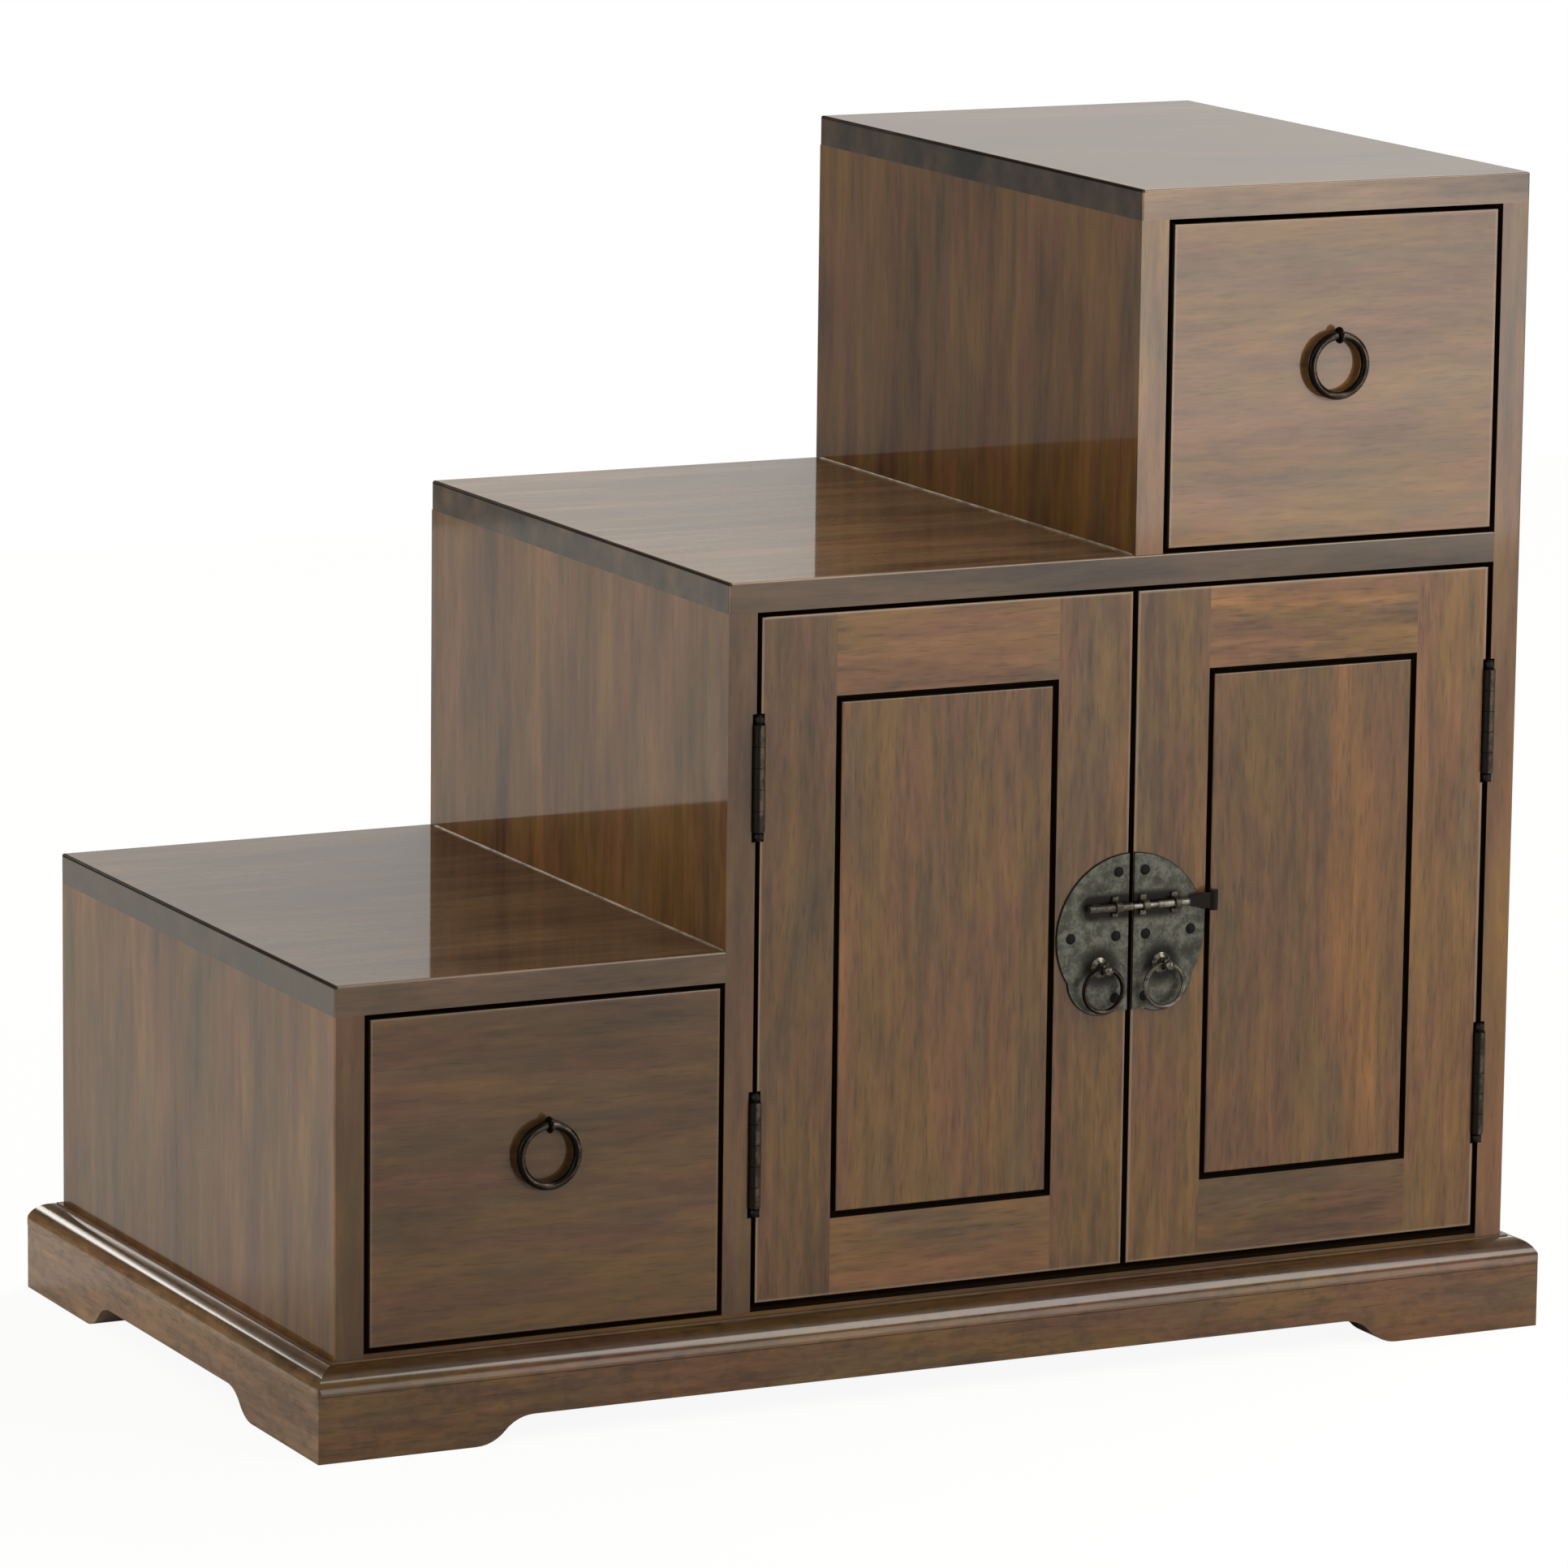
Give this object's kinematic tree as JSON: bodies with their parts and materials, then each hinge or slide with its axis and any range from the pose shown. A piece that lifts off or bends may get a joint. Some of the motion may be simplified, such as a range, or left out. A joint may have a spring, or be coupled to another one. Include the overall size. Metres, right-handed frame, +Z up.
{
  "type": "step chest",
  "caption": "Stair-shaped wooden chest with a drawer in the low and high steps, a two-door cupboard between, ring pulls, a sliding bolt lock and a moulded bracket plinth.",
  "frame": {"origin": "on the floor under the middle of the plinth", "axes": "+Z up; the drawer and door fronts face -Y; the steps rise towards +X"},
  "size_m": [0.732, 0.414, 0.639],
  "materials": {
    "case_wood": "satin walnut stain and clear lacquer",
    "plinth_wood": "satin walnut stain and clear lacquer",
    "door_wood": "satin walnut stain and clear lacquer",
    "drawer_wood": "satin walnut stain and clear lacquer",
    "inner_wood": "plain planed wood",
    "hinge_metal": "dark antique",
    "ring_metal": "black antique, semi-gloss",
    "lock_metal": "dark pewter, satin",
    "bolt_metal": "grey pewter, satin"
  },
  "bodies": {
    "carcase": {"bottom_board": "case_wood", "left_side": "case_wood", "right_side": "case_wood", "second_step_side": "case_wood", "third_step_side": "case_wood", "first_tread": "case_wood", "second_tread": "case_wood", "third_tread": "case_wood", "low_back_panel": "inner_wood", "cupboard_back_panel": "inner_wood", "high_back_panel": "inner_wood", "door_stop": "inner_wood", "low_drawer_stops": "inner_wood", "high_drawer_stops": "inner_wood", "front_plinth": "plinth_wood", "right_plinth": "plinth_wood", "back_plinth": "plinth_wood", "left_plinth": "plinth_wood", "corner_blocks": "inner_wood", "left_hinge_frame_leaves": "hinge_metal", "left_hinge_pins": "hinge_metal", "right_hinge_frame_leaves": "hinge_metal", "right_hinge_pins": "hinge_metal"},
    "low_drawer": {"low_drawer_front": "drawer_wood", "low_drawer_left_side": "inner_wood", "low_drawer_right_side": "inner_wood", "low_drawer_back": "inner_wood", "low_drawer_bottom": "inner_wood", "low_drawer_eye": "ring_metal"},
    "low_drawer_pull": {"low_drawer_ring": "ring_metal"},
    "high_drawer": {"high_drawer_front": "drawer_wood", "high_drawer_left_side": "inner_wood", "high_drawer_right_side": "inner_wood", "high_drawer_back": "inner_wood", "high_drawer_bottom": "inner_wood", "high_drawer_eye": "ring_metal"},
    "high_drawer_pull": {"high_drawer_ring": "ring_metal"},
    "left_door": {"left_door_panel": "door_wood", "left_door_bottom_rail": "door_wood", "left_door_top_rail": "door_wood", "left_door_hinge_stile": "door_wood", "left_door_meeting_stile": "door_wood", "left_hinge_door_leaves": "hinge_metal", "left_lock_plate": "lock_metal", "bolt_keeper": "lock_metal", "left_pull_post": "lock_metal"},
    "left_door_pull": {"left_pull_ring": "lock_metal"},
    "right_door": {"right_door_panel": "door_wood", "right_door_bottom_rail": "door_wood", "right_door_top_rail": "door_wood", "right_door_hinge_stile": "door_wood", "right_door_meeting_stile": "door_wood", "right_hinge_door_leaves": "hinge_metal", "right_lock_plate": "lock_metal", "bolt_guides": "lock_metal", "right_pull_post": "lock_metal"},
    "right_door_pull": {"right_pull_ring": "lock_metal"},
    "bolt": {"sliding_bolt": "bolt_metal"}
  },
  "joints": [
    {"name": "low_drawer_slide", "type": "slide", "parent": "carcase", "child": "low_drawer", "axis": [0, -1, 0], "range_m": [0, 0.25]},
    {"name": "high_drawer_slide", "type": "slide", "parent": "carcase", "child": "high_drawer", "axis": [0, -1, 0], "range_m": [0, 0.25]},
    {"name": "left_door_hinge", "type": "hinge", "parent": "carcase", "child": "left_door", "pos_m": [-0.1099, -0.192, 0.24], "axis": [0, 0, -1], "range_deg": [0, 90]},
    {"name": "right_door_hinge", "type": "hinge", "parent": "carcase", "child": "right_door", "pos_m": [0.3322, -0.192, 0.24], "axis": [0, 0, 1], "range_deg": [0, 165]},
    {"name": "low_drawer_ring_swing", "type": "hinge", "parent": "low_drawer", "child": "low_drawer_pull", "pos_m": [-0.2306, -0.1956, 0.1655], "axis": [-1, 0, 0], "range_deg": [0, 170]},
    {"name": "high_drawer_ring_swing", "type": "hinge", "parent": "high_drawer", "child": "high_drawer_pull", "pos_m": [0.231, -0.1956, 0.5565], "axis": [-1, 0, 0], "range_deg": [0, 170]},
    {"name": "left_door_ring_swing", "type": "hinge", "parent": "left_door", "child": "left_door_pull", "pos_m": [0.09435, -0.1971, 0.2216], "axis": [-1, 0, 0], "range_deg": [0, 170]},
    {"name": "right_door_ring_swing", "type": "hinge", "parent": "right_door", "child": "right_door_pull", "pos_m": [0.13155, -0.1971, 0.2216], "axis": [-1, 0, 0], "range_deg": [0, 170]},
    {"name": "bolt_slide", "type": "slide", "parent": "right_door", "child": "bolt", "axis": [1, 0, 0], "range_m": [-0.005, 0.004]}
  ]
}
